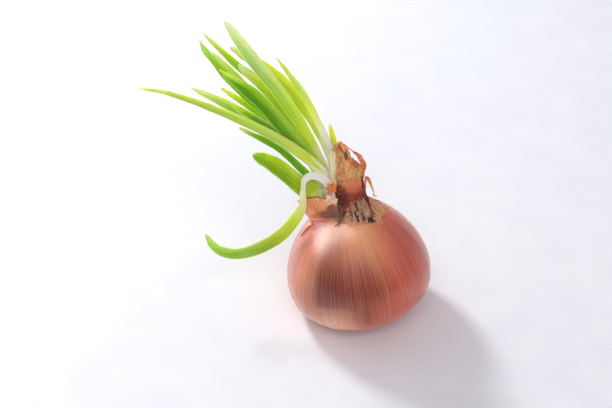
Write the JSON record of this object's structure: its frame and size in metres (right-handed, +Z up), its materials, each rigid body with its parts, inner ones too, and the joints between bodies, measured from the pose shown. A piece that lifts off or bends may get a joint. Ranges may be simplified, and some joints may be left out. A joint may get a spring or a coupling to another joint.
{
  "type": "sprouted onion",
  "caption": "Squat round bulb with a dry torn neck that a fan of long green leaves grows out of, resting on a small flat spot.",
  "frame": {"origin": "middle of the small flat spot that the onion rests on", "axes": "+Z up, +Y back, +X right; the leaves lean to the left, towards -X"},
  "size_m": [0.1425, 0.0908, 0.1549],
  "materials": {
    "bulb_skin": "glossy",
    "root": "matte",
    "dry_orange": "matte",
    "dry_tan": "matte",
    "dark_skin": "satin",
    "dry_cream": "matte",
    "shoot_white": "satin",
    "leaf_pale": "satin",
    "leaf_green": "satin",
    "leaf_deep": "satin",
    "leaf_lime": "satin"
  },
  "bodies": {
    "root": {"bulb": "bulb_skin", "root_plate": "root", "neck_stalk": "dry_orange", "neck_collar": "dry_tan", "neck_band": "dark_skin", "neck_strand": "dark_skin", "stalk_strip": "dry_orange", "loose_curl": "dry_tan", "dry_sheath": "dry_cream", "skin_cup": "dry_orange", "skin_tongue": "bulb_skin", "orange_scrap": "dry_orange", "pale_scrap": "dry_cream", "shoot_front": "shoot_white", "shoot_middle": "shoot_white", "shoot_back": "shoot_white", "leaf_drooping": "leaf_pale", "leaf_long_slim": "leaf_green", "leaf_low_broad": "leaf_green", "leaf_front_green": "leaf_green", "leaf_inner_slim": "leaf_pale", "leaf_tallest": "leaf_pale", "leaf_mid_small": "leaf_deep", "leaf_mid_dark": "leaf_deep", "leaf_bud": "leaf_lime", "leaf_hooked": "leaf_deep", "leaf_mid_pale": "leaf_pale", "leaf_back_lime": "leaf_lime", "leaf_back_low": "leaf_pale", "leaf_back_short": "leaf_lime", "leaf_back_pale": "leaf_pale", "leaf_back_far": "leaf_green"}
  },
  "joints": []
}
